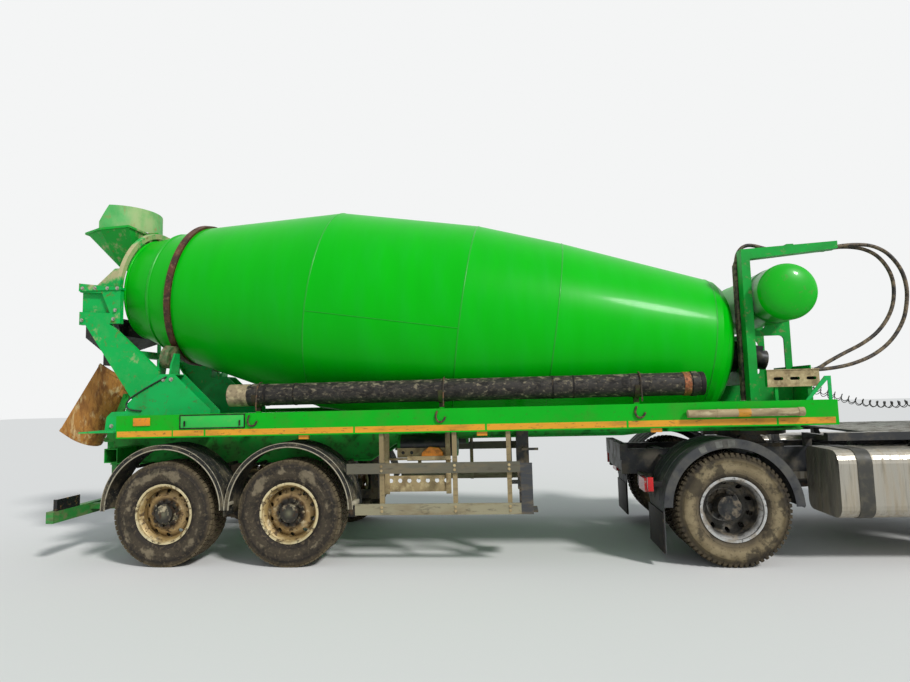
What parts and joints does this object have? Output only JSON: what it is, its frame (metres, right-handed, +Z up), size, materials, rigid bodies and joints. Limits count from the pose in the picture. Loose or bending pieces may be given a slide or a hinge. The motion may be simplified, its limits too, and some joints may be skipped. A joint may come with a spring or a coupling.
{
  "type": "concrete mixer truck",
  "caption": "Concrete mixer semi-trailer with a leaning drum, feed hopper, swinging chute and water tank, hinged to its tractor unit",
  "frame": {"origin": "centre of the lorry's footprint on the ground", "axes": "X forward, Y to the left, Z up"},
  "size_m": [12.6006, 2.84, 4.045],
  "materials": {
    "frame_green": "matt",
    "rail_green": "satin",
    "drum_green": "satin",
    "hopper_green": "satin",
    "flap_rubber": "matt",
    "black_plastic": "matt",
    "worn_steel": "satin",
    "dark_iron": "matt",
    "hose_black": "matt",
    "mudguard_grey": "matt",
    "guard_grey": "satin",
    "lamp_lens": "polished",
    "tyre_rubber": "matt",
    "rim_tan": "matt",
    "rim_silver": "satin",
    "chute_tan": "matt",
    "tractor_paint": "matt",
    "tank_aluminium": "satin",
    "cab_white": "gloss",
    "bumper_grey": "satin",
    "cab_glass": "polished",
    "interior_grey": "matt",
    "engine_grey": "matt"
  },
  "bodies": {
    "trailer": {"trailer_frame": "frame_green", "side_rails": "rail_green", "landing_legs": "dark_iron", "rear_pedestal": "frame_green", "discharge_frame": "frame_green", "feed_hopper": "hopper_green", "hopper_flap": "flap_rubber", "drop_funnel": "black_plastic", "front_pedestal": "frame_green", "drum_drive": "dark_iron", "water_tank": "drum_green", "hose_outer": "hose_black", "hose_inner": "hose_black", "trailer_axles": "dark_iron", "trailer_mudguards": "mudguard_grey", "underrun_guards": "guard_grey", "trailer_lamps": "lamp_lens", "stowed_pipe": "worn_steel", "air_line_left": "hose_black", "air_line_right": "hose_black"},
    "drum": {"drum_shell": "drum_green", "roller_track": "worn_steel", "drum_blades": "worn_steel"},
    "support_roller_left": {"roller_left": "worn_steel"},
    "support_roller_right": {"roller_right": "worn_steel"},
    "swivel": {"chute_swivel": "frame_green"},
    "chute_trough": {"chute": "chute_tan"},
    "tractor": {"tractor_frame": "tractor_paint", "fifth_wheel": "dark_iron", "tractor_axles": "dark_iron", "engine_block": "engine_grey", "fuel_tanks": "tank_aluminium", "tractor_mudguards": "mudguard_grey", "tractor_lamps": "lamp_lens", "cab_shell": "cab_white", "front_bumper": "bumper_grey", "cab_glass": "cab_glass", "cab_interior": "interior_grey"},
    "left_door": {"door_left": "cab_white", "door_glass_left": "cab_glass"},
    "right_door": {"door_right": "cab_white", "door_glass_right": "cab_glass"},
    "left_knuckle": {"knuckle_left": "dark_iron"},
    "right_knuckle": {"knuckle_right": "dark_iron"},
    "left_steer_wheel": {"steer_tyre_left": "tyre_rubber", "steer_rim_left": "rim_silver"},
    "right_steer_wheel": {"steer_tyre_right": "tyre_rubber", "steer_rim_right": "rim_silver"},
    "left_drive_wheels": {"drive_tyres_left": "tyre_rubber", "drive_rims_left": "rim_silver"},
    "right_drive_wheels": {"drive_tyres_right": "tyre_rubber", "drive_rims_right": "rim_silver"},
    "rear_left_trailer_wheel": {"trailer_tyre_rear_left": "tyre_rubber", "trailer_rim_rear_left": "rim_tan"},
    "rear_right_trailer_wheel": {"trailer_tyre_rear_right": "tyre_rubber", "trailer_rim_rear_right": "rim_tan"},
    "front_left_trailer_wheel": {"trailer_tyre_front_left": "tyre_rubber", "trailer_rim_front_left": "rim_tan"},
    "front_right_trailer_wheel": {"trailer_tyre_front_right": "tyre_rubber", "trailer_rim_front_right": "rim_tan"}
  },
  "joints": [
    {"name": "articulation", "type": "hinge", "parent": "trailer", "child": "tractor", "pos_m": [1.71, 0, 1.2], "axis": [0, 0, 1], "range_deg": [-75, 75], "deforming": ["air_line_left", "air_line_right"]},
    {"name": "drum_spin", "type": "hinge", "parent": "trailer", "child": "drum", "pos_m": [-5.243, 0, 3.051], "axis": [0.9888, 0, -0.1492], "continuous": true},
    {"name": "roller_spin_left", "type": "hinge", "parent": "trailer", "child": "support_roller_left", "pos_m": [-4.6858, 0.602, 2.15902], "axis": [0.9888, 0, -0.1492], "continuous": true},
    {"name": "roller_spin_right", "type": "hinge", "parent": "trailer", "child": "support_roller_right", "pos_m": [-4.6858, -0.602, 2.15902], "axis": [0.9888, 0, -0.1492], "continuous": true},
    {"name": "chute_swing", "type": "hinge", "parent": "trailer", "child": "swivel", "pos_m": [-5.75, 0, 1.18], "axis": [0, 0, 1], "range_deg": [-80, 80]},
    {"name": "chute_tilt", "type": "hinge", "parent": "swivel", "child": "chute_trough", "pos_m": [-5.5216, 0, 1.73141], "axis": [0, 1, 0], "range_deg": [0, 42]},
    {"name": "rear_left_trailer_wheel_spin", "type": "hinge", "parent": "trailer", "child": "rear_left_trailer_wheel", "pos_m": [-4.37, 0.84, 0.522], "axis": [0, 1, 0], "continuous": true},
    {"name": "rear_right_trailer_wheel_spin", "type": "hinge", "parent": "trailer", "child": "rear_right_trailer_wheel", "pos_m": [-4.37, -0.84, 0.522], "axis": [0, 1, 0], "continuous": true},
    {"name": "front_left_trailer_wheel_spin", "type": "hinge", "parent": "trailer", "child": "front_left_trailer_wheel", "pos_m": [-3.06, 0.84, 0.522], "axis": [0, 1, 0], "continuous": true},
    {"name": "front_right_trailer_wheel_spin", "type": "hinge", "parent": "trailer", "child": "front_right_trailer_wheel", "pos_m": [-3.06, -0.84, 0.522], "axis": [0, 1, 0], "continuous": true},
    {"name": "left_drive_spin", "type": "hinge", "parent": "tractor", "child": "left_drive_wheels", "pos_m": [1.19, 0.9, 0.522], "axis": [0, 1, 0], "continuous": true},
    {"name": "left_steering", "type": "hinge", "parent": "tractor", "child": "left_knuckle", "pos_m": [4.89, 0.84, 0.522], "axis": [0, 0, 1], "range_deg": [-38, 38]},
    {"name": "left_steer_wheel_spin", "type": "hinge", "parent": "left_knuckle", "child": "left_steer_wheel", "pos_m": [4.89, 1, 0.522], "axis": [0, 1, 0], "continuous": true},
    {"name": "left_door_hinge", "type": "hinge", "parent": "tractor", "child": "left_door", "pos_m": [5.984, 1.164, 2], "axis": [0, 0, -1], "range_deg": [0, 70]},
    {"name": "right_drive_spin", "type": "hinge", "parent": "tractor", "child": "right_drive_wheels", "pos_m": [1.19, -0.9, 0.522], "axis": [0, 1, 0], "continuous": true},
    {"name": "right_steering", "type": "hinge", "parent": "tractor", "child": "right_knuckle", "pos_m": [4.89, -0.84, 0.522], "axis": [0, 0, 1], "range_deg": [-38, 38]},
    {"name": "right_steer_wheel_spin", "type": "hinge", "parent": "right_knuckle", "child": "right_steer_wheel", "pos_m": [4.89, -1, 0.522], "axis": [0, 1, 0], "continuous": true},
    {"name": "right_door_hinge", "type": "hinge", "parent": "tractor", "child": "right_door", "pos_m": [5.984, -1.164, 2], "axis": [0, 0, 1], "range_deg": [0, 70]}
  ],
  "couplings": [
    {"joint": "roller_spin_left", "follows": "drum_spin", "ratio": -6.6923},
    {"joint": "roller_spin_right", "follows": "drum_spin", "ratio": -6.6923},
    {"joint": "right_steering", "follows": "left_steering", "ratio": 1}
  ]
}
